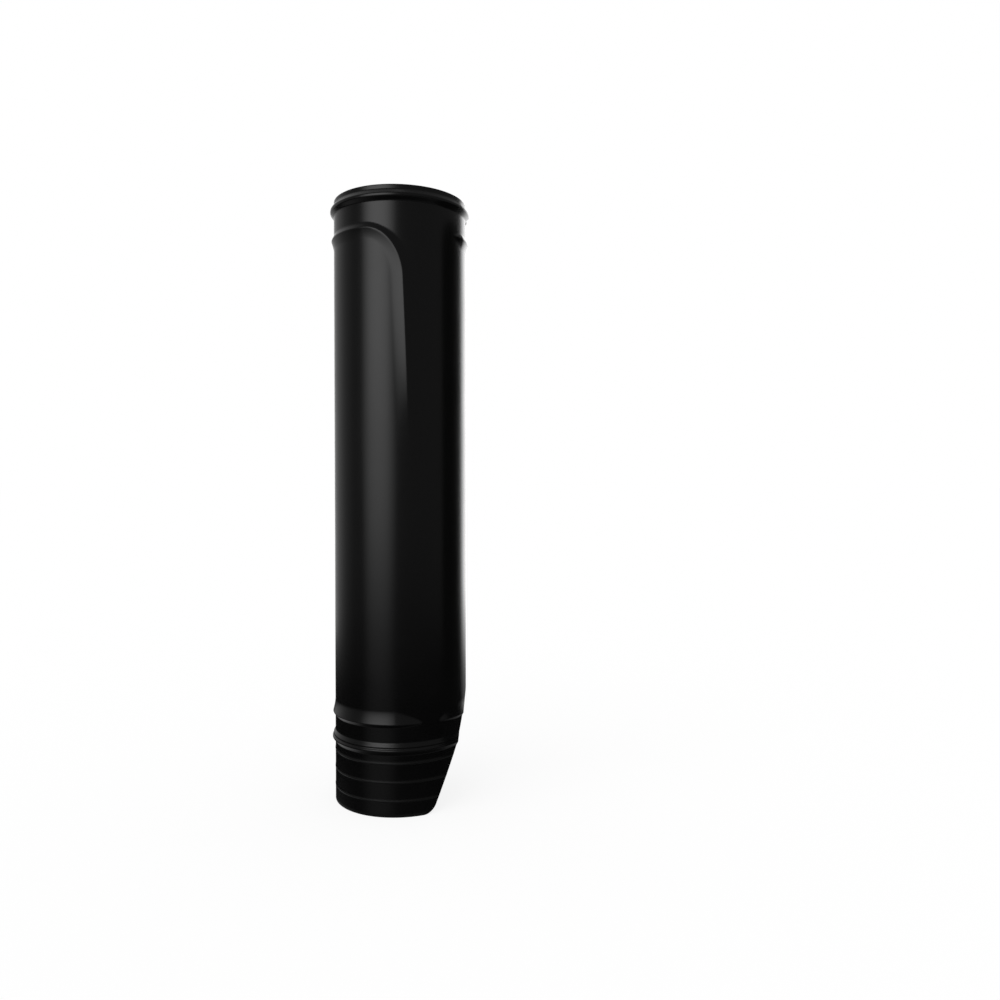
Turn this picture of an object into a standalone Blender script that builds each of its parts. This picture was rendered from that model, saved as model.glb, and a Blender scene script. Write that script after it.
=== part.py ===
"""Wrap-around cover for the upper tube of a motorcycle's fork shock absorber.

One thin plastic moulding, a long tube that is open along a narrow slit so that it can be
sprung round the fork. Two smooth bands take the straps that hold it. Each lies between a
turned bead and the raised edge of the panels, and three faint lines below the lower bead
show where the tube may be cut shorter. The lower end is cut away at a slant under the slit.

The outer skin is laid out flat, as a pattern of half the tube, and then rolled round the
axis: S runs round the tube from the middle of the large panel to the slit, Z runs up it.
The other half is its mirror image. Sizes are in metres, +Z is up the tube's axis, the
large panel faces -Y and the slit +Y, and the lower end stands on Z = 0.
"""
import math

import bmesh
import bpy
from mathutils import Vector
from mathutils.geometry import delaunay_2d_cdt

# The tube
OUTER_RADIUS = 0.0310
WALL = 0.0020
LENGTH = 0.2805
SLIT_WIDTH = 0.0081

# The upper end: a lip and the upper bead under it, measured down from the end
LIP_EDGE = 0.0005
LIP_HEIGHT = 0.0022
UPPER_BEAD_DROP = 0.0049
UPPER_BEAD_HEIGHT = 0.00165
UPPER_BEAD_CROWN = 0.0011
UPPER_BEAD_UNDERSIDE = 0.0018

# The lower bead, with its stepped upper flank, measured up from the lower end
LOWER_BEAD_RISE = 0.0299
LOWER_BEAD_HEIGHT = 0.0013
LOWER_BEAD_CROWN = 0.0007
LOWER_BEAD_UNDERSIDE = 0.0017
BEAD_STEP_HEIGHT = 0.0008
BEAD_STEP_DROP = 0.0006
BEAD_STEP_LENGTH = 0.0009
BEAD_FLANK_LENGTH = 0.0015

# The trim lines below the lower bead
TRIM_COUNT = 3
TRIM_FIRST_RISE = 0.0072
TRIM_PITCH = 0.0084
TRIM_HEIGHT = 0.0001
TRIM_UNDERSIDE = 0.0003
TRIM_SLOPE = 0.0014

# The panels' raised upper edges, and the tapered channel that parts the panels on each side
RIM_DROP = 0.0185
RIM_HEIGHT = 0.00115
RIM_OUTER_TOP = 0.0023
RIM_OUTER_SIDE = 0.0040
RIM_INNER_TOP = 0.0045
RIM_INNER_SIDE = 0.0055
RIM_FADE_DROP = 0.0400
RIM_FADE_LENGTH = 0.0720
RIM_COVE = 1.8
RIM_CORNER_AROUND = 0.0170
RIM_CORNER_UP = 0.0220
RIM_TAPER = 0.0080
RIM_TAPER_CURVE = 0.8
CHANNEL_ANGLE = math.radians(112.0)
CHANNEL_TOP_WIDTH = 0.0270
CHANNEL_FOOT_WIDTH = 0.0088

# The ledge at the panels' lower edge, measured up from the lower end
LEDGE_RISE = 0.0416
LEDGE_HEIGHT = 0.00105
LEDGE_RAMP = 0.0060
LEDGE_UNDERSIDE = 0.0015
LEDGE_TAPER = 0.0120
LEDGE_TAPER_CURVE = 0.6
LEDGE_COVE = 1.5

# The slanted cut of the lower end, which stands steeper above a bend
CUT_DISTANCE = 0.01217
CUT_LEAN = math.radians(23.6)
CUT_BEND_RISE = 0.0284
CUT_UPPER_LEAN = math.radians(15.0)
CUT_CORNER = 0.0070
CUT_CORNER_STEPS = 8
CUTTER_MARGIN = 0.0080

# Spacing of the points in the flat pattern
COLUMN_ANGLE = math.radians(5.0)
ROW_SPACING = 0.0120
CORNER_STEPS = 10
TIP_SHARES = (0.03, 0.12, 0.3, 0.6)
INNER_ROWS = 6
CLEAR_SHARE = 1.35
END_CLEARANCE = 0.0030
PATTERN_SCALE = 1000.0

INNER_RADIUS = OUTER_RADIUS - WALL
SLIT_HALF_ANGLE = math.asin(SLIT_WIDTH / 2 / OUTER_RADIUS)
HALF_WIDTH = OUTER_RADIUS * (math.pi - SLIT_HALF_ANGLE)
RIM_CREST = LENGTH - RIM_DROP
FADE_FOOT = RIM_CREST - RIM_FADE_DROP - RIM_FADE_LENGTH
COLOUR = (0.011, 0.011, 0.012, 1.0)
ROUGHNESS = 0.34


def upper_end_profile():
    """Offsets of the lip and the upper bead from the tube's wall, as (Z, offset)."""
    crown_top = LENGTH - UPPER_BEAD_DROP + UPPER_BEAD_CROWN / 2
    crown_foot = crown_top - UPPER_BEAD_CROWN
    return [
        (crown_foot - UPPER_BEAD_UNDERSIDE, 0.0),
        (crown_foot, UPPER_BEAD_HEIGHT),
        (crown_top, UPPER_BEAD_HEIGHT),
        (LENGTH - LIP_HEIGHT, 0.0),
        (LENGTH - LIP_EDGE, 0.0),
        (LENGTH, -LIP_EDGE),
    ]


def lower_bead_profile():
    """Offsets of the lower bead from the tube's wall, as (Z, offset)."""
    crown_foot = LOWER_BEAD_RISE - LOWER_BEAD_CROWN / 2
    crown_top = crown_foot + LOWER_BEAD_CROWN
    step_foot = crown_top + BEAD_STEP_DROP
    step_top = step_foot + BEAD_STEP_LENGTH
    return [
        (crown_foot - LOWER_BEAD_UNDERSIDE, 0.0),
        (crown_foot, LOWER_BEAD_HEIGHT),
        (crown_top, LOWER_BEAD_HEIGHT),
        (step_foot, BEAD_STEP_HEIGHT),
        (step_top, BEAD_STEP_HEIGHT),
        (step_top + BEAD_FLANK_LENGTH, 0.0),
    ]


def trim_profile():
    """Offsets of the faintly raised trim lines, as (Z, offset)."""
    points = []
    for index in range(TRIM_COUNT):
        crest = TRIM_FIRST_RISE + index * TRIM_PITCH
        points.append((crest - TRIM_UNDERSIDE, 0.0))
        points.append((crest, TRIM_HEIGHT))
        points.append((crest + TRIM_SLOPE, 0.0))
    return points


def turned_profile():
    """The whole turned profile of the skin, from the lower end to the upper one."""
    return [(0.0, 0.0)] + trim_profile() + lower_bead_profile() + upper_end_profile()


def turned_offset(z):
    """Offset of the turned profile at a height."""
    profile = turned_profile()
    for (low, low_offset), (high, high_offset) in zip(profile, profile[1:]):
        if low <= z <= high:
            return low_offset + (high_offset - low_offset) * (z - low) / (high - low)
    return profile[-1][1]


def channel_half_width(z):
    """Half the channel's width, which tapers evenly from the rims down to the ledge."""
    share = (z - LEDGE_RISE) / (RIM_CREST - LEDGE_RISE)
    width = CHANNEL_FOOT_WIDTH + (CHANNEL_TOP_WIDTH - CHANNEL_FOOT_WIDTH) * share
    return width / 2


def panel_side(direction, z):
    """S of a panel's side edge: DIRECTION is +1 where S runs towards its channel, or -1."""
    return OUTER_RADIUS * CHANNEL_ANGLE - direction * channel_half_width(z)


class Rim:
    """The large panel's raised edge, which turns the corner and fades out down the side."""

    def widths(self, level, sideways):
        """Width of the rim's slope, blended from the top edge's to the side edge's."""
        if level > 0:
            top, side = RIM_OUTER_TOP, RIM_OUTER_SIDE
        else:
            top, side = RIM_INNER_TOP, RIM_INNER_SIDE
        return top + (side - top) * sideways

    def point(self, level, angle):
        """Point of a rim line round the corner: level 0 is its crest, 1 and -1 its feet."""
        sideways = math.cos(angle) ** 2
        reach = RIM_CORNER_UP + (RIM_CORNER_AROUND - RIM_CORNER_UP) * sideways
        stretch = 1.0 + level * self.widths(level, sideways) / reach
        z = RIM_CREST - RIM_CORNER_UP + RIM_CORNER_UP * stretch * math.sin(angle)
        out = RIM_CORNER_AROUND * (stretch * math.cos(angle) - 1.0)
        return (panel_side(1, z) + out, z)

    def line(self, level):
        """A rim line from the panel's middle, round its corner and down its side."""
        corner = [self.point(level, math.radians(90.0 * (1 - step / CORNER_STEPS)))
                  for step in range(CORNER_STEPS + 1)]
        top_z = corner[0][1]
        line = [(s, top_z) for s in columns_between(0.0, corner[0][0])]
        line += corner
        out = level * self.widths(level, 1.0)
        depth = corner[-1][1] - FADE_FOOT
        rows = math.ceil(depth / (ROW_SPACING / 2))
        for row in range(1, rows + 1):
            z = corner[-1][1] - depth * row / rows
            line.append((panel_side(1, z) + out, z))
        return line

    def offset(self, s, z):
        """Height of the rim at a point of the pattern."""
        out = s - panel_side(1, z)
        across = (out + RIM_CORNER_AROUND) / RIM_CORNER_AROUND
        along = (z - RIM_CREST + RIM_CORNER_UP) / RIM_CORNER_UP
        if across <= 0.0 and along <= 0.0:
            return 0.0
        if along <= 0.0:
            sideways, distance = 1.0, out
        elif across <= 0.0:
            sideways, distance = 0.0, z - RIM_CREST
        else:
            length = math.hypot(across, along)
            sideways = (across / length) ** 2
            reach = RIM_CORNER_UP + (RIM_CORNER_AROUND - RIM_CORNER_UP) * sideways
            distance = (length - 1.0) * reach
        level = distance / self.widths(distance, sideways)
        if abs(level) >= 1.0:
            return 0.0
        shape = 1.0 - level if level > 0 else (1.0 + level) ** RIM_COVE
        return RIM_HEIGHT * shape * fade(z)

    def lines(self):
        """Every line on which the rim folds."""
        return [self.line(level) for level in (1.0, 0.0, -0.5, -1.0)]

    def covers(self, s, z):
        """Whether a point lies on the rim or too close beside it."""
        if z < FADE_FOOT - END_CLEARANCE:
            return False
        out = s - panel_side(1, z)
        beside = -CLEAR_SHARE * RIM_INNER_SIDE < out < CLEAR_SHARE * RIM_OUTER_SIDE
        corner = z > RIM_CREST - RIM_CORNER_UP and -RIM_CORNER_AROUND - RIM_INNER_SIDE < out < 0.0
        top = z > RIM_CREST - CLEAR_SHARE * RIM_INNER_TOP and out < 0.0
        return beside or corner or top


class Ridge:
    """A level ridge across a panel, which tapers to a point at the panel's side edge."""

    def __init__(self, direction, far_edge, crest, height, above, below, taper, curve):
        self.direction = direction
        self.far_edge = far_edge
        self.crest = crest
        self.height = height
        self.above = above
        self.below = below
        self.taper = taper
        self.curve = curve

    def share(self, s):
        """Share of the ridge's full form that is left at a place round the tube."""
        inside = -self.direction * (s - panel_side(self.direction, self.crest))
        return min(1.0, max(0.0, inside) / self.taper) ** self.curve

    def line(self, level):
        """A line along the ridge: level 0 is its crest, 1 and -1 its upper and lower feet."""
        tip = panel_side(self.direction, self.crest)
        ends = [tip - self.direction * self.taper * share for share in TIP_SHARES]
        stations = [*columns_between(self.far_edge, ends[-1]), *reversed(ends)]
        length = self.above[0] if level > 0 else self.below[0]
        line = [(s, self.crest + level * length * self.share(s)) for s in stations]
        return line + [(tip, self.crest)]

    def offset(self, s, z):
        """Height of the ridge at a point of the pattern."""
        share = self.share(s)
        length, cove = self.above if z > self.crest else self.below
        level = abs(z - self.crest) / (length * share) if share > 0.0 else 1.0
        if level >= 1.0:
            return 0.0
        return self.height * share * (1.0 - level) ** cove

    def lines(self):
        """Every line on which the ridge folds, with one more half-way up a hollow slope."""
        levels = [1.0, 0.0, -1.0]
        if self.above[1] > 1.0:
            levels.append(0.5)
        if self.below[1] > 1.0:
            levels.append(-0.5)
        return [self.line(level) for level in levels]

    def covers(self, s, z):
        """Whether a point lies on the ridge or too close beside it."""
        inside = -self.direction * (s - panel_side(self.direction, self.crest))
        foot = self.crest - CLEAR_SHARE * self.below[0]
        head = self.crest + CLEAR_SHARE * self.above[0]
        return foot < z < head and inside > -END_CLEARANCE


def fade(z):
    """Share of the rim's height that is left, easing out down the panels' sides."""
    share = min(1.0, max(0.0, (z - FADE_FOOT) / RIM_FADE_LENGTH))
    return share * share * (3.0 - 2.0 * share)


def columns():
    """S of the pattern's columns, from the large panel's middle to the slit."""
    step = OUTER_RADIUS * COLUMN_ANGLE
    count = math.ceil(HALF_WIDTH / step - 0.5)
    return [index * step for index in range(count)] + [HALF_WIDTH]


def columns_between(start, stop):
    """The pattern's columns from one S, which is kept, up to another, which isn't."""
    low, high = sorted((start, stop))
    step = OUTER_RADIUS * COLUMN_ANGLE
    inner = [s for s in columns() if low + step / 3 < s < high - step / 3]
    return [start, *(inner if start < stop else reversed(inner))]


def rows_between(low, high, spacing):
    """Evenly spaced heights between two others, without them."""
    count = math.ceil((high - low) / spacing)
    return [low + (high - low) * index / count for index in range(1, count)]


def triangulate(lines, points):
    """Triangles of the flat pattern that follow every line and use every point."""
    verts = [Vector(point) * PATTERN_SCALE for point in points]
    edges = []
    for line in lines:
        first = len(verts)
        verts += [Vector(point) * PATTERN_SCALE for point in line]
        edges += [(index, index + 1) for index in range(first, len(verts) - 1)]
    flat, _, faces, *_ = delaunay_2d_cdt(verts, edges, [], 0, 1e-4)
    return [(v.x / PATTERN_SCALE, v.y / PATTERN_SCALE) for v in flat], faces


def rolled(s, z, radius):
    """A point of the pattern rolled round the tube's axis."""
    angle = s / OUTER_RADIUS
    return Vector((radius * math.sin(angle), -radius * math.cos(angle), z))


def raised_features():
    """The large panel's rim, the small panel's upper edge and the ledge of each."""
    rim_above = (RIM_OUTER_TOP, 1.0)
    rim_below = (RIM_INNER_TOP, RIM_COVE)
    ledge_above = (LEDGE_RAMP, LEDGE_COVE)
    ledge_below = (LEDGE_UNDERSIDE, 1.0)
    features = [
        Rim(),
        Ridge(-1, HALF_WIDTH, RIM_CREST, RIM_HEIGHT, rim_above, rim_below,
              RIM_TAPER, RIM_TAPER_CURVE),
    ]
    for direction, far_edge in ((1, 0.0), (-1, HALF_WIDTH)):
        features.append(Ridge(direction, far_edge, LEDGE_RISE, LEDGE_HEIGHT,
                              ledge_above, ledge_below, LEDGE_TAPER, LEDGE_TAPER_CURVE))
    return features


def outer_pattern(features):
    """The outer skin's triangles, in the flat."""
    rings = [z for z, _ in turned_profile()]
    plain_foot = LEDGE_RISE + 2 * LEDGE_RAMP
    plain_top = RIM_CREST - RIM_INNER_TOP
    plain_rows = [plain_foot, *rows_between(plain_foot, plain_top, ROW_SPACING), RIM_CREST]
    lines = [[(s, z) for s in columns()] for z in rings]
    for feature in features:
        lines += feature.lines()
    grid = [(s, z) for z in plain_rows for s in columns()]
    free = [point for point in grid if not any(item.covers(*point) for item in features)]
    return triangulate(lines, free)


def add_skin(mesh, flat, faces, radius_at, outwards):
    """Adds a rolled skin to the mesh and returns its vertices in the pattern's order."""
    verts = [mesh.verts.new(rolled(s, z, radius_at(s, z))) for s, z in flat]
    for face in faces:
        corners = [verts[index] for index in face]
        mesh.faces.new(corners if outwards else corners[::-1])
    return verts


def edge_run(flat, verts, along, axis, value):
    """The vertices on one edge of the pattern, in order along it."""
    close = LENGTH * 1e-6
    on_edge = [(p[along], vert) for p, vert in zip(flat, verts) if abs(p[axis] - value) < close]
    return [vert for _, vert in sorted(on_edge, key=lambda item: item[0])]


def open_border(flat, verts):
    """The vertices along a skin's lower end, up its slit edge and back along its upper end."""
    foot = edge_run(flat, verts, 0, 1, 0.0)
    slit = edge_run(flat, verts, 1, 0, HALF_WIDTH)
    head = edge_run(flat, verts, 0, 1, LENGTH)
    return foot + slit[1:] + head[-2::-1]


def shell_mesh():
    """Half of the cover as a skin outside, a skin inside and the rims between them."""
    features = raised_features()

    def outer_radius(s, z):
        raised = sum(feature.offset(s, z) for feature in features)
        return OUTER_RADIUS + turned_offset(z) + raised

    def inner_radius(s, z):
        return INNER_RADIUS

    mesh = bmesh.new()
    outer_flat, outer_faces = outer_pattern(features)
    outer = add_skin(mesh, outer_flat, outer_faces, outer_radius, True)

    slit_rows = sorted(z for s, z in outer_flat if abs(s - HALF_WIDTH) < LENGTH * 1e-6)
    spread = rows_between(0.0, LENGTH, LENGTH / INNER_ROWS)
    inner_lines = [
        [(s, 0.0) for s in columns()],
        [(s, LENGTH) for s in columns()],
        [(HALF_WIDTH, z) for z in slit_rows],
    ]
    inner_points = [(s, z) for s in columns()[:-1] for z in spread]
    inner_flat, inner_faces = triangulate(inner_lines, inner_points)
    inner = add_skin(mesh, inner_flat, inner_faces, inner_radius, False)

    outside = open_border(outer_flat, outer)
    inside = open_border(inner_flat, inner)
    for index in range(len(outside) - 1):
        near, far = index, index + 1
        mesh.faces.new((outside[near], inside[near], inside[far], outside[far]))
    return mesh


def add_object(name, mesh):
    """Puts a finished bmesh into the scene as a named object."""
    data = bpy.data.meshes.new(name)
    mesh.to_mesh(data)
    mesh.free()
    added = bpy.data.objects.new(name, data)
    bpy.context.scene.collection.objects.link(added)
    return added


def cut_outline():
    """Outline of the slanted cut, seen along X, as (Y, Z) with a rounded lower corner."""
    sweep = math.pi / 2 - CUT_LEAN
    start = CUT_DISTANCE - CUT_CORNER * math.tan(sweep / 2)
    outline = [(start, -CUTTER_MARGIN)]
    for step in range(CUT_CORNER_STEPS + 1):
        angle = -math.pi / 2 + sweep * step / CUT_CORNER_STEPS
        outline.append((start + CUT_CORNER * math.cos(angle), CUT_CORNER * (1 + math.sin(angle))))
    bend = CUT_DISTANCE + CUT_BEND_RISE * math.tan(CUT_LEAN)
    reach = OUTER_RADIUS + CUTTER_MARGIN
    outline.append((bend, CUT_BEND_RISE))
    outline.append((reach, CUT_BEND_RISE + (reach - bend) / math.tan(CUT_UPPER_LEAN)))
    outline.append((reach, -CUTTER_MARGIN))
    return outline


def add_cutter():
    """The guide solid that cuts the lower end away under the slit."""
    reach = OUTER_RADIUS + CUTTER_MARGIN
    mesh = bmesh.new()
    side = mesh.faces.new([mesh.verts.new((-reach, y, z)) for y, z in cut_outline()])
    swept = bmesh.ops.extrude_face_region(mesh, geom=[side])["geom"]
    moved = [item for item in swept if isinstance(item, bmesh.types.BMVert)]
    bmesh.ops.translate(mesh, verts=moved, vec=(2 * reach, 0.0, 0.0))
    bmesh.ops.recalc_face_normals(mesh, faces=mesh.faces)
    cutter = add_object("end_cutter", mesh)
    cutter.hide_render = True
    cutter.display_type = "WIRE"
    return cutter


def black_plastic():
    """Satin black polypropylene."""
    material = bpy.data.materials.new("black_plastic")
    material.use_nodes = True
    shader = material.node_tree.nodes["Principled BSDF"]
    shader.inputs["Base Color"].default_value = COLOUR
    shader.inputs["Roughness"].default_value = ROUGHNESS
    shader.inputs["Metallic"].default_value = 0.0
    return material


def add_cover():
    """The finished cover: half a shell, mirrored, with its lower end cut at a slant."""
    cover = add_object("cover_shell", shell_mesh())
    cover.data.materials.append(black_plastic())
    cover.data.shade_smooth()
    cover.data.set_sharp_from_angle(angle=math.radians(35.0))

    mirror = cover.modifiers.new("other_half", "MIRROR")
    mirror.use_axis = (True, False, False)
    mirror.merge_threshold = 0.00005

    cut = cover.modifiers.new("slanted_end", "BOOLEAN")
    cut.operation = "DIFFERENCE"
    cut.solver = "EXACT"
    cut.object = add_cutter()
    return cover


def main():
    """Clears the scene and models the cover."""
    for old in list(bpy.data.objects):
        bpy.data.objects.remove(old, do_unlink=True)
    add_cover()


if __name__ == "__main__":
    main()
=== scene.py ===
"""Finished looks and studio for a wrap-around cover of a motorcycle's fork shock absorber.

The cover is one satin black moulding. Its skin is a surface of two parameters: S runs round
the tube from the middle of the large panel, Z runs up it, and a height above the tube's wall
is worked out for every point from the beads, the trim lines, the panels' rims and the ledge.
Lengths are in metres. The large panel faces -Y, the slit +Y, and the cover stands on Z = 0.
"""

import math

import bmesh
import bpy
import numpy as np
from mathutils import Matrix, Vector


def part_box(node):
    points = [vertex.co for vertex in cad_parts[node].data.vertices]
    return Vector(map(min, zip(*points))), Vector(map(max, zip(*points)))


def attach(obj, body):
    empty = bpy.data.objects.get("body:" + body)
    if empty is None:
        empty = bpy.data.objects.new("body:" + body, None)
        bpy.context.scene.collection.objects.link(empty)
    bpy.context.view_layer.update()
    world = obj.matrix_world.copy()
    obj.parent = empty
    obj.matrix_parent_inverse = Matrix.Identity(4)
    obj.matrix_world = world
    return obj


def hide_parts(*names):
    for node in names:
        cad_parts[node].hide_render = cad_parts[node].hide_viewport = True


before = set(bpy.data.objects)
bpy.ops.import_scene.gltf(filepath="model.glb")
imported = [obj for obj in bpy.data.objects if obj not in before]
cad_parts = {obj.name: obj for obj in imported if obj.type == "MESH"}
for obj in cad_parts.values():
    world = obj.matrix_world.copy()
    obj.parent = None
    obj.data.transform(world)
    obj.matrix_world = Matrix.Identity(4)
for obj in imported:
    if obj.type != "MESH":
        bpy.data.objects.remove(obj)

bl_info = {
    "name": "Fork shock absorber cover",
    "version": (1, 0, 0),
    "blender": (4, 5, 0),
    "location": "3D View > Sidebar > Fork cover",
    "description": "Builds the satin black fork cover and the studio it is shown in",
    "category": "Object",
}

_, CAD_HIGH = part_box("cover_shell")
TRIM_COUNT = 3


def length(name, description, default):
    """A length setting, shown in the scene's units."""
    return bpy.props.FloatProperty(
        name=name, description=description, default=default, min=0.0, unit="LENGTH", precision=5)


def share(name, description, default):
    """A setting between nothing and one."""
    return bpy.props.FloatProperty(
        name=name, description=description, default=default, min=0.0, max=1.0,
        subtype="FACTOR", precision=3)


def angle(name, description, degrees):
    """An angle setting."""
    return bpy.props.FloatProperty(
        name=name, description=description, default=math.radians(degrees), subtype="ANGLE")


def number(name, description, default):
    """A plain number, such as a power or a brightness, where 1 is white."""
    return bpy.props.FloatProperty(
        name=name, description=description, default=default, min=0.0, precision=3)


class TubeSizes(bpy.types.PropertyGroup):
    """The slit tube that every other form stands on."""

    radius: length("Radius", "Outside radius of the tube's plain wall", 0.0310)
    wall: length("Wall", "Thickness of the wall", 0.0020)
    height: length("Height", "Length of the tube", CAD_HIGH.z)
    slit: length("Slit", "Width of the lengthwise slit", 0.0081)
    edge: length("Edge", "Rounding of the cut edges", 0.00035)


class UpperEndSizes(bpy.types.PropertyGroup):
    """The lip and the bead at the upper end, measured down from it."""

    lip_edge: length("Lip edge", "Rounding of the lip's edge", 0.0005)
    lip_height: length("Lip height", "Height of the lip", 0.0022)
    bead_drop: length("Bead drop", "Distance of the bead's middle from the end", 0.0049)
    bead_height: length("Bead height", "How far the bead stands out", 0.00165)
    bead_crown: length("Bead crown", "Width of the bead's crown", 0.0011)
    bead_underside: length("Bead underside", "Length of the slope under the bead", 0.0018)
    softness: length("Softness", "How far the corners of the profile are rounded", 0.00025)


class LowerEndSizes(bpy.types.PropertyGroup):
    """The lower bead, the trim lines and the slanted cut, measured up from the lower end."""

    bead_rise: length("Bead rise", "Height of the bead's middle", 0.0299)
    bead_height: length("Bead height", "How far the bead stands out", 0.0013)
    bead_crown: length("Bead crown", "Width of the bead's crown", 0.0007)
    bead_underside: length("Bead underside", "Length of the slope under the bead", 0.0017)
    step_height: length("Step height", "How far the step above the crown stands out", 0.0008)
    step_drop: length("Step drop", "Length of the fall from crown to step", 0.0006)
    step_length: length("Step length", "Length of the step", 0.0009)
    flank_length: length("Flank length", "Length of the bead's upper flank", 0.0015)
    trim_first: length("First trim line", "Height of the lowest trim line's crest", 0.0072)
    trim_pitch: length("Trim pitch", "Distance between trim lines", 0.0084)
    trim_height: length("Trim height", "How far a trim line stands out", 0.00014)
    trim_underside: length("Trim underside", "Length of the slope under a trim line", 0.0003)
    trim_slope: length("Trim slope", "Length of the slope above a trim line", 0.0014)
    trim_cove: number("Trim cove", "Power that hollows the slope above a trim line", 1.6)
    cut_distance: length("Cut distance", "Where the slanted cut meets the end's plane", 0.01217)
    cut_lean: angle("Cut lean", "Lean of the slanted cut from upright", 23.6)
    cut_bend: length("Cut bend", "Height at which the slanted cut turns steeper", 0.0284)
    cut_upper_lean: angle("Cut upper lean", "Lean of the cut above its bend", 15.0)
    cut_corner: length("Cut corner", "Rounding between the cut and the lower end", 0.0070)
    softness: length("Softness", "How far the corners of the profile are rounded", 0.00018)


class PanelSizes(bpy.types.PropertyGroup):
    """The panels' raised upper edges and the channel that parts the panels.

    The large panel's edge turns the corner and runs down the side, where it fades out. The
    small panel's is a straight ridge that tapers to a point.
    """

    crest_drop: length("Crest drop", "Distance of the rims' top from the upper end", 0.0185)
    height: length("Height", "How far a rim stands out", 0.00115)
    outer_top: length("Outer slope, top", "Length of a rim's outer slope at the top", 0.0023)
    outer_side: length("Outer slope, side", "Length of a rim's outer slope at the side", 0.0040)
    inner_top: length("Inner slope, top", "Length of a rim's inner slope at the top", 0.0045)
    inner_side: length("Inner slope, side", "Length of a rim's inner slope at the side", 0.0055)
    cove_top: number("Top cove", "Power that hollows the large rim's inner top slope", 1.4)
    cove: number("Cove", "Power that hollows the other inner slopes", 1.8)
    fade_drop: length("Fade drop", "How far below the top a rim starts to fade", 0.0400)
    fade_length: length("Fade length", "Length over which a rim fades away", 0.0720)
    corner_around: length("Corner, around", "Large panel's corner round the tube", 0.0170)
    corner_up: length("Corner, up", "Large panel's corner up the tube", 0.0220)
    taper: length("Taper", "Distance over which the small panel's edge narrows", 0.0080)
    taper_power: number("Taper power", "Power that rounds the small panel's tip", 0.8)
    channel_angle: angle("Channel place", "Turn from the large panel to the channel", 112.0)
    channel_top: length("Channel top", "Width of the channel at the rims", 0.0270)
    channel_foot: length("Channel foot", "Width of the channel at the ledge", 0.0088)
    softness: length("Softness", "How far a rim's crest and feet are rounded", 0.00040)


class LedgeSizes(bpy.types.PropertyGroup):
    """The ledge at the panels' lower edge, measured up from the lower end."""

    rise: length("Rise", "Height of the ledge's crest", 0.0416)
    height: length("Height", "How far the ledge stands out", 0.00105)
    ramp: length("Ramp", "Length of the ramp above the crest", 0.0060)
    underside: length("Underside", "Length of the slope below the crest", 0.0015)
    taper: length("Taper", "Distance over which the ledge narrows to its tip", 0.0120)
    taper_power: number("Taper power", "Power that rounds the ledge's tip", 0.6)
    cove: number("Cove", "Power that hollows the ramp", 1.5)
    softness: length("Softness", "How far the crest and feet are rounded", 0.00016)


class PlasticFinish(bpy.types.PropertyGroup):
    """Satin black moulded plastic."""

    colour: bpy.props.FloatVectorProperty(
        name="Colour", description="Colour of the plastic", default=(0.0020, 0.0020, 0.0021),
        size=3, min=0.0, max=1.0, subtype="COLOR")
    roughness: share("Roughness", "Roughness where the surface is smoothest", 0.22)
    roughness_spread: share("Roughness spread", "How much rougher the dull patches are", 0.04)
    patch: length("Patch", "Size of the dull and bright patches", 0.030)
    trim_roughness: share("Trim roughness", "Roughness of the trim lines", 0.45)
    grain: length("Grain", "Size of the moulded grain", 0.00030)
    grain_depth: length("Grain depth", "Height of the moulded grain", 0.0000020)


class StudioLook(bpy.types.PropertyGroup):
    """The pale floor, the plain light and the cards that the plastic mirrors."""

    background: number("Background", "Brightness of the background, 1 is white", 1.0)
    fill: number("Fill", "Brightness of the plain light from all round", 0.6)
    key: number("Key", "Strength of the lamp that gives the soft shadow", 0.6)
    floor: share("Floor", "Paleness of the floor", 0.22)
    softbox: number("Softbox", "Brightness of the softbox at the front left", 2.4)
    rim_card: number("Rim card", "Brightness of the card behind, to the right", 2.8)
    surround: number("Surround", "Brightness of the grey cloth all round", 0.70)
    flag: number("Flag", "Brightness of the dark upright roll at the right", 0.02)
    view_turn: angle("View turn", "Turn of the photo's side of the cover from -Y", 80.0)


class CoverSettings(bpy.types.PropertyGroup):
    """Everything that shapes, finishes and lights the cover."""

    tube: bpy.props.PointerProperty(type=TubeSizes)
    upper: bpy.props.PointerProperty(type=UpperEndSizes)
    lower: bpy.props.PointerProperty(type=LowerEndSizes)
    panel: bpy.props.PointerProperty(type=PanelSizes)
    ledge: bpy.props.PointerProperty(type=LedgeSizes)
    plastic: bpy.props.PointerProperty(type=PlasticFinish)
    studio: bpy.props.PointerProperty(type=StudioLook)


# Surfaces

# Keeps divisions off zero, and a count from growing by the last digit of a length
TINY = 1e-6

# Shares of the panels' softness: the large rim's crest stays sharper than its outer foot
CREST_SOFTNESS = 0.6
OUTER_FOOT_SOFTNESS = 1.6

# A panel's direction from the channel: the large one lies towards lower S
LARGE_PANEL = 1.0
SMALL_PANEL = -1.0


def averaged(function, places, reach, samples=9):
    """A function with its corners rounded: its mean over a stretch of REACH to either side."""
    shifts = np.linspace(-reach, reach, samples)
    return sum(function(places + shift) for shift in shifts) / samples


def chain(points):
    """A chain of straight lines through (place, value) points, as a function of place."""
    places, values = np.array(points).T
    return lambda at: np.interp(at, places, values)


def smooth_step(low, high, at):
    """Rises from 0 at LOW to 1 at HIGH along the cubic 3t^2 - 2t^3."""
    t = np.clip((at - low) / (high - low), 0.0, 1.0)
    return t * t * (3.0 - 2.0 * t)


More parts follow.
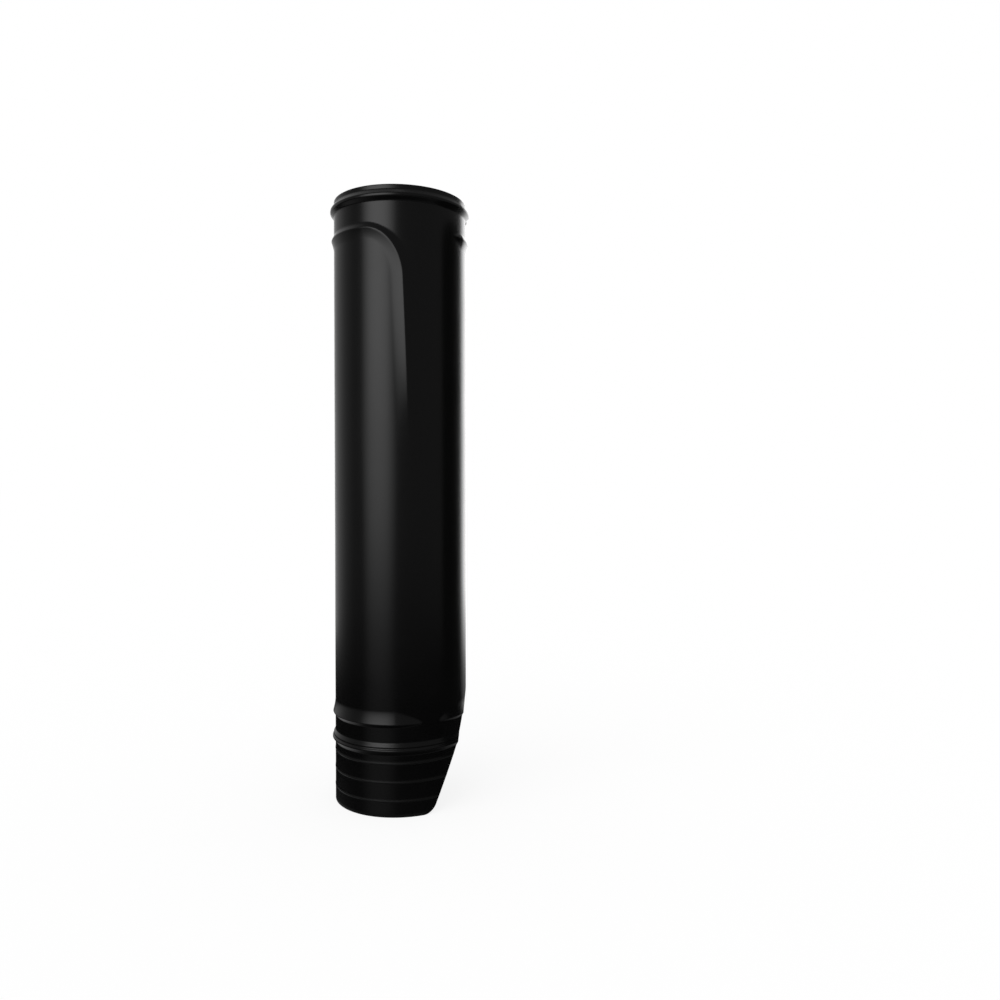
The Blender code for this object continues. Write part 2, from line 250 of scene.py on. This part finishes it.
def upper_end_offset(z, tube, upper):
    """Height of the lip and the upper bead above the wall, as a rounded chain of lines."""
    top = tube.height
    crown_top = top - upper.bead_drop + upper.bead_crown / 2
    crown_foot = crown_top - upper.bead_crown
    profile = chain([
        (crown_foot - upper.bead_underside, 0.0),
        (crown_foot, upper.bead_height),
        (crown_top, upper.bead_height),
        (top - upper.lip_height, 0.0),
        (top, 0.0),
    ])
    return averaged(profile, z, upper.softness)


def trim_crests(lower):
    """Heights of the trim lines' crests."""
    return [lower.trim_first + index * lower.trim_pitch for index in range(TRIM_COUNT)]


def trim_offset(z, lower):
    """Height of the trim lines: each rises evenly to its crest and falls as a power above it."""

    def line(at):
        under = np.clip(1.0 + at / lower.trim_underside, 0.0, 1.0)
        above = np.clip(1.0 - at / lower.trim_slope, 0.0, 1.0) ** lower.trim_cove
        return np.where(at > 0.0, above, under)

    return lower.trim_height * sum(
        averaged(line, z - crest, lower.softness / 2) for crest in trim_crests(lower))


def lower_end_offset(z, lower):
    """Height of the lower bead above the wall, as a rounded chain of lines."""
    crown_foot = lower.bead_rise - lower.bead_crown / 2
    crown_top = crown_foot + lower.bead_crown
    step_foot = crown_top + lower.step_drop
    step_top = step_foot + lower.step_length
    profile = chain([
        (crown_foot - lower.bead_underside, 0.0),
        (crown_foot, lower.bead_height),
        (crown_top, lower.bead_height),
        (step_foot, lower.step_height),
        (step_top, lower.step_height),
        (step_top + lower.flank_length, 0.0),
    ])
    return averaged(profile, z, lower.softness)


def half_channel(z, tube, panel, ledge):
    """Half the channel's width, which grows evenly from the ledge up to the rims' crest."""
    crest = tube.height - panel.crest_drop
    risen = (z - ledge.rise) / (crest - ledge.rise)
    return (panel.channel_foot + (panel.channel_top - panel.channel_foot) * risen) / 2


def panel_side(z, direction, settings):
    """S of a panel's side edge: the channel's middle, less DIRECTION times half its width."""
    tube, panel = settings.tube, settings.panel
    middle = tube.radius * panel.channel_angle
    return middle - direction * half_channel(z, tube, panel, settings.ledge)


def rim_offset(s, z, settings):
    """Height of the large panel's raised edge.

    Round the corner the crest is a quarter of an ellipse, which runs on straight across the
    top and down the side. The rim falls evenly to its outer foot, and to its inner foot as a
    power of the share that is left. Slopes and power change from top to side with the square
    of the sine of the turn round the corner. The rim fades out down the side.
    """
    panel = settings.panel
    around, up = panel.corner_around, panel.corner_up
    crest = settings.tube.height - panel.crest_drop
    out = s - panel_side(z, LARGE_PANEL, settings)
    across = (out + around) / around
    along = (z - crest + up) / up
    ring = np.hypot(np.maximum(across, 0.0), np.maximum(along, 0.0))
    sideways = np.where(
        along <= 0.0, 1.0, (np.maximum(across, 0.0) / np.maximum(ring, TINY)) ** 2)
    distance = (ring - 1.0) * (up + (around - up) * sideways)

    def slope(at):
        outer = panel.outer_top + (panel.outer_side - panel.outer_top) * sideways
        inner = panel.inner_top + (panel.inner_side - panel.inner_top) * sideways
        cove = panel.cove_top + (panel.cove - panel.cove_top) * sideways
        outside = np.clip(1.0 - at / outer, 0.0, 1.0)
        inside = np.clip(1.0 + at / inner, 0.0, 1.0) ** cove
        return np.where(at > 0.0, outside, inside)

    fade_foot = crest - panel.fade_drop - panel.fade_length
    fade = smooth_step(fade_foot, fade_foot + panel.fade_length, z)
    reach = panel.softness * np.where(
        distance > panel.outer_top / 2, OUTER_FOOT_SOFTNESS, CREST_SOFTNESS)
    return panel.height * averaged(slope, distance, reach) * fade


def ridge_offset(s, z, direction, crest, above, below, ridge, settings):
    """Height of a level ridge across a panel.

    ABOVE and BELOW give the length of each slope and the power that hollows it. All sizes
    shrink to nothing at the panel's side edge, as a power of the distance from it.
    """
    inside = -direction * (s - panel_side(crest, direction, settings))
    size = np.clip(inside / ridge.taper, 0.0, 1.0) ** ridge.taper_power
    rise = np.maximum(above[0] * size, TINY)
    fall = np.maximum(below[0] * size, TINY)

    def slope(at):
        upper = np.clip(1.0 - at / rise, 0.0, 1.0) ** above[1]
        lower = np.clip(1.0 + at / fall, 0.0, 1.0) ** below[1]
        return np.where(at > 0.0, upper, lower)

    return ridge.height * size * averaged(slope, z - crest, ridge.softness)


def skin_radius(s, z, settings):
    """Radius of the outer skin: the wall's, plus the height of everything that is on it."""
    tube, panel, ledge = settings.tube, settings.panel, settings.ledge
    total = tube.radius + upper_end_offset(z, tube, settings.upper)
    total = total + lower_end_offset(z, settings.lower) + trim_offset(z, settings.lower)
    total = total + rim_offset(s, z, settings)
    total = total + ridge_offset(
        s, z, SMALL_PANEL, tube.height - panel.crest_drop,
        (panel.outer_top, 1.0), (panel.inner_top, panel.cove), panel, settings)
    for direction in (LARGE_PANEL, SMALL_PANEL):
        total = total + ridge_offset(
            s, z, direction, ledge.rise,
            (ledge.ramp, ledge.cove), (ledge.underside, 1.0), ledge, settings)
    return total


def cut_planes(lower, steps=10):
    """Planes that trim the lower end, as ((Y, Z), (normal Y, normal Z)).

    They touch a round of the corner's radius that runs from the level end to the slant. The
    last but one is the slanted cut itself, and the last its steeper part above the bend.
    """
    sweep = math.pi / 2 - lower.cut_lean
    start = lower.cut_distance - lower.cut_corner * math.tan(sweep / 2)
    planes = []
    for turn in np.linspace(0.0, sweep, steps + 1)[1:]:
        y = start + lower.cut_corner * math.sin(turn)
        z = lower.cut_corner * (1.0 - math.cos(turn))
        planes.append(((y, z), (math.sin(turn), -math.cos(turn))))
    bend = lower.cut_distance + lower.cut_bend * math.tan(lower.cut_lean)
    steep = (math.cos(lower.cut_upper_lean), -math.sin(lower.cut_upper_lean))
    return [*planes, ((bend, lower.cut_bend), steep)]


# Meshes

# Spacing of the skin's rows on each kind of stretch, and of the inside's rows
TRIM_GAP_ROWS = 0.0016
TRIM_ROWS = 0.00012
BEAD_GAP_ROWS = 0.0006
BEAD_ROWS = 0.00018
BAND_ROWS = 0.0012
SLOPE_ROWS = 0.00040
SIDE_ROWS = 0.0040
CREST_ROWS = 0.00016
OUTER_SLOPE_ROWS = 0.00030
LIP_ROWS = 0.00022
INSIDE_FOOT_ROWS = 0.0050
INSIDE_ROWS = 0.020

# Spacing of the columns: across the front, along rims and tips, and everywhere else
FRONT_COLUMNS = 0.0012
CLOSE_COLUMNS = 0.00045
BACK_COLUMNS = 0.0011

# How far close rows and columns reach past the form that they are for
TRIM_MARGIN = 0.0002
MARGIN = 0.0004
RIM_MARGIN = 0.0005
WIDE_MARGIN = 0.0006

# How far they reach above the lower bead's middle, below the rims' crest, and past the
# ledge's tip on the small panel, and up to which height the inside's rows are closer
BEAD_REACH = 0.0036
CREST_REACH = 0.0010
LEDGE_TIP_REACH = 0.0030
INSIDE_FOOT = 0.045

# Share of the height of the side's fade at which the columns start to lean
LEAN_START = 0.5

# Steps in the rounding of the cut edges and of the lip's outer edge
EDGE_STEPS = 3
LIP_STEPS = 4

# Distances within which points are welded and a cut goes through a point
WELD_DISTANCE = 1e-6
CUT_DISTANCE = 1e-7


def spaced(stops):
    """Places from the first stop to the last, given as (place, spacing of the stretch to it)."""
    places = [stops[0][0]]
    for (start, _), (stop, spacing) in zip(stops, stops[1:]):
        count = max(1, math.ceil((stop - start) / spacing - TINY))
        places += list(np.linspace(start, stop, count + 1)[1:])
    return np.array(places)


def skin_rows(settings):
    """Heights of the skin's rows, closest where the profile and the rims turn."""
    tube, upper, lower = settings.tube, settings.upper, settings.lower
    panel, ledge = settings.panel, settings.ledge
    top = tube.height
    crest = top - panel.crest_drop
    upper_bead_foot = top - upper.bead_drop - upper.bead_crown / 2 - upper.bead_underside
    lower_bead_foot = lower.bead_rise - lower.bead_crown / 2 - lower.bead_underside
    stops = [(tube.edge, 0.0)]
    for line in trim_crests(lower):
        stops += [(line - lower.trim_underside - TRIM_MARGIN, TRIM_GAP_ROWS),
                  (line + lower.trim_slope + TRIM_MARGIN, TRIM_ROWS)]
    stops += [
        (lower_bead_foot - MARGIN, BEAD_GAP_ROWS),
        (lower.bead_rise + BEAD_REACH, BEAD_ROWS),
        (ledge.rise - ledge.underside - MARGIN, BAND_ROWS),
        (ledge.rise + MARGIN, BEAD_ROWS),
        (ledge.rise + ledge.ramp + MARGIN, SLOPE_ROWS),
        (crest - panel.corner_up - panel.inner_top, SIDE_ROWS),
        (crest - CREST_REACH, SLOPE_ROWS),
        (crest + WIDE_MARGIN, CREST_ROWS),
        (crest + panel.outer_top + WIDE_MARGIN, OUTER_SLOPE_ROWS),
        (upper_bead_foot - MARGIN, BAND_ROWS),
        (top - upper.lip_edge, LIP_ROWS),
    ]
    return spaced(stops)


def skin_columns(settings):
    """S of half the skin's columns, closest along the rim's side and at the ridges' tips."""
    tube, panel, ledge = settings.tube, settings.panel, settings.ledge
    crest = tube.height - panel.crest_drop
    rim = panel_side(crest, LARGE_PANEL, settings)
    tip = panel_side(crest, SMALL_PANEL, settings)
    large_tip = panel_side(ledge.rise, LARGE_PANEL, settings)
    small_tip = panel_side(ledge.rise, SMALL_PANEL, settings)
    edge = tube.radius * (math.pi - math.asin(tube.slit / 2 / tube.radius)) - tube.edge
    return spaced([
        (0.0, 0.0),
        (rim - panel.corner_around - panel.inner_top, FRONT_COLUMNS),
        (rim + panel.outer_side + RIM_MARGIN, CLOSE_COLUMNS),
        (large_tip + WIDE_MARGIN, CLOSE_COLUMNS),
        (small_tip - WIDE_MARGIN, BACK_COLUMNS),
        (small_tip + LEDGE_TIP_REACH, CLOSE_COLUMNS),
        (tip - WIDE_MARGIN, BACK_COLUMNS),
        (tip + panel.taper, CLOSE_COLUMNS),
        (edge, BACK_COLUMNS),
    ])


def leaned(s, z, settings):
    """The columns' S at a height: they lean with the rim's side, and stand upright below."""
    tube, panel = settings.tube, settings.panel
    crest = tube.height - panel.crest_drop
    rim = panel_side(crest, LARGE_PANEL, settings)
    tip = panel_side(crest, SMALL_PANEL, settings)
    weight = np.interp(
        s, [0.0, rim - panel.inner_side, rim + panel.outer_side, tip], [0.0, 1.0, 1.0, 0.0])
    lean = panel_side(np.minimum(z, crest), LARGE_PANEL, settings) - rim
    fade_foot = crest - panel.fade_drop - panel.fade_length
    return s + weight * lean * smooth_step(fade_foot * LEAN_START, fade_foot, z)


def quarter(steps):
    """Angles of a quarter turn."""
    return np.linspace(0.0, math.pi / 2, steps + 1)


def shell_grid(settings):
    """Points of half the cover: a closed loop up the skin and down the inside per column.

    Each loop is a long thin rectangle with rounded corners. Near the slit the loops shrink
    along a quarter circle, which rounds the slit's edges in the same way.
    """
    tube, upper = settings.tube, settings.upper
    edge, lip = tube.edge, upper.lip_edge
    half = skin_columns(settings)
    turns = quarter(EDGE_STEPS)[1:]
    s = np.concatenate([half, half[-1] + edge * np.sin(turns)])
    shrink = np.concatenate([np.zeros(len(half)), edge * (1.0 - np.cos(turns))])
    inner = tube.radius - tube.wall
    top = tube.height
    inside = spaced([(edge, 0.0), (INSIDE_FOOT, INSIDE_FOOT_ROWS), (top - edge, INSIDE_ROWS)])
    loop = []

    def add(radius, height):
        height = np.broadcast_to(height, s.shape)
        turn = leaned(s, height, settings) / tube.radius
        loop.append((radius * np.sin(turn), -radius * np.cos(turn), height))

    for z in skin_rows(settings):
        height = np.full(s.shape, z)
        add(skin_radius(leaned(s, height, settings), height, settings) - shrink, height)
    for bend in quarter(LIP_STEPS)[1:]:
        add(tube.radius - lip + (lip - shrink) * np.cos(bend),
            top - lip + (lip - shrink) * np.sin(bend))
    for bend in quarter(EDGE_STEPS)[::-1]:
        add(inner + edge - (edge - shrink) * np.cos(bend),
            top - edge + (edge - shrink) * np.sin(bend))
    for z in inside[-2:0:-1]:
        add(inner + shrink, z)
    for bend in quarter(EDGE_STEPS):
        add(inner + edge - (edge - shrink) * np.cos(bend),
            edge - (edge - shrink) * np.sin(bend))
    for bend in quarter(EDGE_STEPS)[:0:-1]:
        add(tube.radius - edge + (edge - shrink) * np.cos(bend),
            edge - (edge - shrink) * np.sin(bend))
    return np.array(loop).transpose(0, 2, 1)


def trimmed(mesh, planes):
    """Cuts a closed bmesh with each plane in turn, and fills what the cut opens."""
    for (y, z), (normal_y, normal_z) in planes:
        everything = [*mesh.verts, *mesh.edges, *mesh.faces]
        cut = bmesh.ops.bisect_plane(
            mesh, geom=everything, dist=CUT_DISTANCE, plane_co=(0.0, y, z),
            plane_no=(0.0, normal_y, normal_z), clear_outer=True)["geom_cut"]
        opened = [item for item in cut if isinstance(item, bmesh.types.BMEdge)]
        for face in bmesh.ops.edgenet_fill(mesh, edges=opened)["faces"]:
            face.smooth = True
        for item in opened:
            item.smooth = False


def closed_mesh(name, half, planes):
    """A closed mesh from half a grid of loops: mirrored in X, slit faces filled, end cut."""
    mirrored = half[:, :0:-1] * np.array([-1.0, 1.0, 1.0])
    grid = np.concatenate([mirrored, half], axis=1)
    rows, columns = grid.shape[:2]
    number_of = np.arange(rows * columns).reshape(rows, columns)
    above = np.roll(number_of, -1, axis=0)
    quads = np.stack(
        [number_of[:, :-1], number_of[:, 1:], above[:, 1:], above[:, :-1]], axis=-1)
    caps = [number_of[:, 0].tolist(), number_of[::-1, -1].tolist()]
    data = bpy.data.meshes.new(name)
    data.from_pydata(grid.reshape(-1, 3), [], quads.reshape(-1, 4).tolist() + caps)
    data.shade_smooth()

    mesh = bmesh.new()
    mesh.from_mesh(data)
    bmesh.ops.remove_doubles(mesh, verts=mesh.verts, dist=WELD_DISTANCE)
    trimmed(mesh, planes)
    bmesh.ops.recalc_face_normals(mesh, faces=mesh.faces)
    open_edges = sum(not item.is_manifold for item in mesh.edges)
    mesh.to_mesh(data)
    mesh.free()
    if open_edges:
        raise RuntimeError(f"{name} has {open_edges} open edges")
    return data


def mark_trims(data, settings):
    """Marks the trim lines, which are duller.

    The attribute "trim" is 1 on the upper half of a line's height and falls to 0 at its feet.
    """
    tube, lower = settings.tube, settings.lower
    points = np.empty(len(data.vertices) * 3)
    data.vertices.foreach_get("co", points)
    x, y, z = points.reshape(-1, 3).T
    marked = np.clip(trim_offset(z, lower) / (lower.trim_height / 2), 0.0, 1.0)
    outside = np.hypot(x, y) > tube.radius - tube.wall / 2
    data.attributes.new("trim", "FLOAT", "POINT").data.foreach_set("value", marked * outside)


def mapped_mesh(name, columns, rows, surface, inward=False):
    """A mesh over a grid of U and V from 0 to 1, which is its UV map too.

    SURFACE gives the points for U and V. Faces show the side on which V is up and U runs to
    the right, or with INWARD the other side.
    """
    u, v = np.meshgrid(np.linspace(0.0, 1.0, columns + 1), np.linspace(0.0, 1.0, rows + 1))
    index = np.arange((rows + 1) * (columns + 1)).reshape(rows + 1, columns + 1)
    corners = [index[:-1, :-1], index[:-1, 1:], index[1:, 1:], index[1:, :-1]]
    if inward:
        corners[1], corners[3] = corners[3], corners[1]
    quads = np.stack(corners, axis=-1).reshape(-1, 4)
    data = bpy.data.meshes.new(name)
    data.from_pydata(surface(u, v).reshape(-1, 3), [], quads.tolist())
    layer = data.uv_layers.new(name="UVMap")
    layer.data.foreach_set(
        "uv", np.stack([u, v], axis=-1).reshape(-1, 2)[quads.ravel()].ravel())
    return data


def card_mesh(name, width, height):
    """A flat card, WIDTH along X by HEIGHT along Z."""

    def surface(u, v):
        return np.stack([(u - 0.5) * width, np.zeros_like(u), v * height], axis=-1)

    return mapped_mesh(name, 1, 1, surface)


def dome_mesh(name, radius, columns=72, rows=36):
    """A sphere seen from inside: U runs round it from -Y towards +X, V from nadir to zenith."""

    def surface(u, v):
        around, up = u * 2.0 * math.pi, (v - 0.5) * math.pi
        return radius * np.stack(
            [np.sin(around) * np.cos(up), -np.cos(around) * np.cos(up), np.sin(up)], axis=-1)

    return mapped_mesh(name, columns, rows, surface, inward=True)


def roll_mesh(name, radius, height, columns=96):
    """An upright roll round its own axis: U runs round it from -Y towards +X, V up it."""

    def surface(u, v):
        around = u * 2.0 * math.pi
        return np.stack([radius * np.sin(around), -radius * np.cos(around), height * v], axis=-1)

    return mapped_mesh(name, columns, 1, surface)


def add_object(name, data, material):
    """Puts a finished mesh into the scene with its material."""
    added = bpy.data.objects.new(name, data)
    bpy.context.scene.collection.objects.link(added)
    data.materials.append(material)
    return added


# Materials


class Nodes:
    """A short way to place and join a material's or a world's nodes."""

    def __init__(self, tree):
        self.tree = tree
        self.tree.nodes.clear()

    def add(self, kind, settings=(), inputs=()):
        """A node with its settings, and with its inputs given as values or as sockets."""
        node = self.tree.nodes.new(kind)
        for key, value in dict(settings).items():
            setattr(node, key, value)
        for key, value in dict(inputs).items():
            if isinstance(value, bpy.types.NodeSocket):
                self.tree.links.new(value, node.inputs[key])
            else:
                node.inputs[key].default_value = value
        return node

    def ramp(self, factor, stops):
        """A ramp of grey levels, given as (place, level)."""
        node = self.add("ShaderNodeValToRGB", (), {"Fac": factor})
        node.color_ramp.interpolation = "EASE"
        elements = node.color_ramp.elements
        while len(elements) < len(stops):
            elements.new(0.5)
        for element, (place, level) in zip(elements, stops):
            element.position = place
            element.color = (level, level, level, 1.0)
        return node.outputs["Color"]

    def reckoned(self, operation, first, second):
        """What OPERATION makes of two numbers."""
        node = self.add("ShaderNodeMath", {"operation": operation}, {0: first, 1: second})
        return node.outputs[0]

    def times(self, first, second):
        """The product of two numbers."""
        return self.reckoned("MULTIPLY", first, second)

    def either(self, first, second):
        """The larger of two numbers."""
        return self.reckoned("MAXIMUM", first, second)

    def seen(self):
        """1 for camera, glossy and transmission rays, and 0 for all others."""
        rays = self.add("ShaderNodeLightPath").outputs
        return self.either(
            self.either(rays["Is Camera Ray"], rays["Is Glossy Ray"]),
            rays["Is Transmission Ray"])


def new_material(name):
    """An empty material that uses nodes."""
    material = bpy.data.materials.new(name)
    material.use_nodes = True
    return material, Nodes(material.node_tree)


def black_plastic(finish):
    """Satin black plastic with a very fine moulded grain and slightly uneven gloss."""
    material, nodes = new_material("satin_black_plastic")
    place = nodes.add("ShaderNodeTexCoord").outputs["Object"]
    patches = nodes.add(
        "ShaderNodeTexNoise", (),
        {"Vector": place, "Scale": 1.0 / finish.patch, "Detail": 3.0, "Roughness": 0.6})
    roughness = nodes.add(
        "ShaderNodeMapRange", (),
        {"Value": patches.outputs["Fac"], "From Min": 0.3, "From Max": 0.7,
         "To Min": finish.roughness, "To Max": finish.roughness + finish.roughness_spread})
    trim = nodes.add("ShaderNodeAttribute", {"attribute_name": "trim"}).outputs["Fac"]
    dulled = nodes.either(
        roughness.outputs["Result"], nodes.times(trim, finish.trim_roughness))
    grain = nodes.add(
        "ShaderNodeTexNoise", (),
        {"Vector": place, "Scale": 1.0 / finish.grain, "Detail": 2.0, "Roughness": 0.5})
    bump = nodes.add(
        "ShaderNodeBump", (),
        {"Height": grain.outputs["Fac"], "Strength": 1.0, "Distance": finish.grain_depth})
    shader = nodes.add(
        "ShaderNodeBsdfPrincipled", (),
        {"Base Color": (*finish.colour, 1.0), "IOR": 1.5, "Metallic": 0.0,
         "Roughness": dulled, "Normal": bump.outputs["Normal"]})
    nodes.add("ShaderNodeOutputMaterial", (), {"Surface": shader.outputs["BSDF"]})
    return material


def lit_card(name, level, across, up):
    """A glowing card whose light falls off towards its edges along two ramps."""
    material, nodes = new_material(name)
    uv = nodes.add("ShaderNodeTexCoord").outputs["UV"]
    parts = nodes.add("ShaderNodeSeparateXYZ", (), {"Vector": uv}).outputs
    glow = nodes.times(nodes.ramp(parts["X"], across), nodes.ramp(parts["Y"], up))
    light = nodes.add("ShaderNodeEmission", (), {"Strength": nodes.times(glow, level)})
    nodes.add("ShaderNodeOutputMaterial", (), {"Surface": light.outputs["Emission"]})
    return material


def pale_floor(studio):
    """A pale floor that meets the background without a line, and keeps the cover's shadow.

    Where a camera, glossy or transmission ray meets it, it glows by what the plain light
    leaves it short of the background.
    """
    material, nodes = new_material("pale_floor")
    seen = nodes.seen()
    lit = studio.floor * (studio.fill + studio.key * math.cos(KEY_TILT) / math.pi)
    matt = nodes.add(
        "ShaderNodeBsdfDiffuse", (), {"Color": (studio.floor, studio.floor, studio.floor, 1.0)})
    short = max(0.0, studio.background - lit)
    glow = nodes.add("ShaderNodeEmission", (), {"Strength": nodes.times(seen, short)})
    both = nodes.add(
        "ShaderNodeAddShader", (), {0: matt.outputs["BSDF"], 1: glow.outputs["Emission"]})
    nodes.add("ShaderNodeOutputMaterial", (), {"Surface": both.outputs["Shader"]})
    return material


def white_background(studio):
    """A world that lights evenly and shows white to camera, glossy and transmission rays."""
    world = bpy.data.worlds.new("white_background")
    world.use_nodes = True
    nodes = Nodes(world.node_tree)
    level = nodes.add(
        "ShaderNodeMapRange", (),
        {"Value": nodes.seen(), "To Min": studio.fill,
         "To Max": studio.background}).outputs["Result"]
    light = nodes.add(
        "ShaderNodeBackground", (), {"Color": (1.0, 1.0, 1.0, 1.0), "Strength": level})
    nodes.add("ShaderNodeOutputWorld", (), {"Surface": light.outputs["Background"]})
    return world


# Studio

# The lamp: its tilt from straight down, its turn from the photo's side and its softness
KEY_TILT = math.radians(35.0)
KEY_TURN = math.radians(-35.0)
KEY_ANGLE = math.radians(50.0)

# How far the floor reaches to each side, and the radius of the grey cloth all round
FLOOR_REACH = 60.0
SURROUND_RADIUS = 3.0

# The camera that fits the photo. Its lens and the width of its sensor are in millimetres.
CAMERA_PLACE = (0.40721, -0.02363, 0.14867)
CAMERA_PITCH = math.radians(90.0 - 1.0886)
CAMERA_LENS = 30.49
CAMERA_SENSOR = 36.0

# Cards: turn from the photo's side of the cover, distance, foot height, width and height
SOFTBOX = (math.radians(-31.0), 1.0, -0.45, 1.24, 1.41)
RIM_CARD = (math.radians(173.0), 1.4, -0.40, 2.0, 1.5)

# How the light of each falls off across it and up it, as (place, level)
SOFTBOX_ACROSS = [
    (0.0, 0.0), (0.06, 0.18), (0.14, 0.42), (0.32, 0.80), (0.50, 0.87), (0.68, 0.80),
    (0.86, 0.42), (0.94, 0.18), (1.0, 0.0)]
SOFTBOX_UP = [
    (0.0, 0.09), (0.14, 0.05), (0.22, 0.0), (0.30, 0.31), (0.45, 0.70), (0.66, 0.95),
    (0.93, 1.0), (1.0, 0.0)]
RIM_ACROSS = [(0.0, 0.6), (0.20, 1.0), (0.75, 0.5), (1.0, 0.3)]
RIM_UP = [
    (0.0, 0.05), (0.09, 0.10), (0.15, 0.42), (0.22, 0.95), (0.32, 1.0), (0.9, 1.0),
    (1.0, 0.0)]
SURROUND_ACROSS = [
    (0.0, 0.20), (0.64, 0.20), (0.72, 0.7), (0.80, 0.75), (0.88, 0.55), (0.96, 0.30),
    (1.0, 0.20)]
SURROUND_UP = [
    (0.0, 0.22), (0.18, 0.22), (0.25, 0.9), (0.33, 0.9), (0.37, 0.25), (0.39, 0.02),
    (0.432, 0.0), (0.447, 0.15), (0.459, 0.95), (0.50, 1.0), (1.0, 1.0)]
EVEN = [(0.0, 1.0), (1.0, 1.0)]

# The dark roll: its place on the floor, its radius and its height
FLAG_PLACE = (0.0165, 0.0935)
FLAG_RADIUS = 0.0310
FLAG_HEIGHT = 0.2805


def placed_card(name, place, view_turn, material):
    """A card that stands at its turn and distance and faces the cover's axis."""
    turn, distance, foot, width, height = place
    card = add_object(name, card_mesh(name, width, height), material)
    facing = turn + view_turn
    card.location = (math.sin(facing) * distance, -math.cos(facing) * distance, foot)
    card.rotation_euler = (0.0, 0.0, facing)
    return card


def mirrored_only(*objects):
    """Keeps cards out of the picture and off the floor: only reflections show them."""
    for item in objects:
        item.visible_camera = False
        item.visible_diffuse = False
        item.visible_transmission = False
        item.visible_volume_scatter = False
        item.visible_shadow = False


class FORKCOVER_OT_moulded_cover(bpy.types.Operator):
    """Build the moulded cover in satin black plastic"""

    bl_idname = "fork_cover.moulded_cover"
    bl_label = "Moulded cover"

    def execute(self, context):
        settings = context.scene.fork_cover
        data = closed_mesh("moulded_cover", shell_grid(settings), cut_planes(settings.lower))
        mark_trims(data, settings)
        cover = add_object("moulded_cover", data, black_plastic(settings.plastic))
        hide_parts("cover_shell")
        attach(cover, "root")
        return {"FINISHED"}


class FORKCOVER_OT_studio(bpy.types.Operator):
    """Set up the floor, the light, the cards and the camera"""

    bl_idname = "fork_cover.studio"
    bl_label = "Studio"

    def execute(self, context):
        scene = context.scene
        studio = scene.fork_cover.studio
        scene.world = white_background(studio)
        scene.view_settings.view_transform = "Standard"

        floor_mesh = bpy.data.meshes.new("floor")
        floor_mesh.from_pydata(
            [(x * FLOOR_REACH, y * FLOOR_REACH, 0.0)
             for x, y in ((-1.0, -1.0), (1.0, -1.0), (1.0, 1.0), (-1.0, 1.0))],
            [], [(0, 1, 2, 3)])
        floor = add_object("floor", floor_mesh, pale_floor(studio))
        floor.visible_glossy = False

        softbox = placed_card(
            "softbox", SOFTBOX, studio.view_turn,
            lit_card("softbox_light", studio.softbox, SOFTBOX_ACROSS, SOFTBOX_UP))
        rim = placed_card(
            "rim_card", RIM_CARD, studio.view_turn,
            lit_card("rim_card_light", studio.rim_card, RIM_ACROSS, RIM_UP))
        dome = add_object(
            "surround", dome_mesh("surround", SURROUND_RADIUS),
            lit_card("grey_surround", studio.surround, SURROUND_ACROSS, SURROUND_UP))
        flag = add_object(
            "black_flag", roll_mesh("black_flag", FLAG_RADIUS, FLAG_HEIGHT),
            lit_card("black_flag", studio.flag, EVEN, EVEN))
        flag.location = (*FLAG_PLACE, 0.0)
        mirrored_only(softbox, rim, dome, flag)

        lamp = bpy.data.lights.new("key", "SUN")
        lamp.energy = studio.key
        lamp.angle = KEY_ANGLE
        key = bpy.data.objects.new("key", lamp)
        key.rotation_euler = (KEY_TILT, 0.0, studio.view_turn + KEY_TURN)
        key.visible_glossy = False
        scene.collection.objects.link(key)

        view = bpy.data.cameras.new("photo_view")
        view.lens = CAMERA_LENS
        view.sensor_width = CAMERA_SENSOR
        camera = bpy.data.objects.new("photo_view", view)
        camera.location = CAMERA_PLACE
        camera.rotation_euler = (CAMERA_PITCH, 0.0, studio.view_turn)
        scene.collection.objects.link(camera)
        scene.camera = camera
        return {"FINISHED"}


def draw_group(layout, title, group):
    """A titled box with every setting of a group."""
    box = layout.box()
    box.label(text=title)
    for key in group.bl_rna.properties.keys():
        if key not in ("rna_type", "name"):
            box.prop(group, key)


class FORKCOVER_PT_sidebar(bpy.types.Panel):
    """Sizes, finish and light of the fork cover"""

    bl_label = "Fork cover"
    bl_idname = "FORKCOVER_PT_sidebar"
    bl_space_type = "VIEW_3D"
    bl_region_type = "UI"
    bl_category = "Fork cover"

    def draw(self, context):
        settings = context.scene.fork_cover
        layout = self.layout
        for title, group in (
                ("Tube", settings.tube), ("Upper end", settings.upper),
                ("Lower end", settings.lower), ("Panels", settings.panel),
                ("Ledge", settings.ledge), ("Plastic", settings.plastic)):
            draw_group(layout, title, group)
        layout.operator(FORKCOVER_OT_moulded_cover.bl_idname)
        draw_group(layout, "Studio", settings.studio)
        layout.operator(FORKCOVER_OT_studio.bl_idname)


CLASSES = (
    TubeSizes, UpperEndSizes, LowerEndSizes, PanelSizes, LedgeSizes, PlasticFinish, StudioLook,
    CoverSettings, FORKCOVER_OT_moulded_cover, FORKCOVER_OT_studio, FORKCOVER_PT_sidebar)


def register():
    """Adds the classes and the scene's settings."""
    for item in CLASSES:
        bpy.utils.register_class(item)
    bpy.types.Scene.fork_cover = bpy.props.PointerProperty(type=CoverSettings)


def unregister():
    """Removes the settings and the classes."""
    del bpy.types.Scene.fork_cover
    for item in reversed(CLASSES):
        bpy.utils.unregister_class(item)


def main():
    """Builds the cover and its studio."""
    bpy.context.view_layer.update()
    register()
    bpy.ops.fork_cover.moulded_cover()
    bpy.ops.fork_cover.studio()


if __name__ == "__main__":
    main()
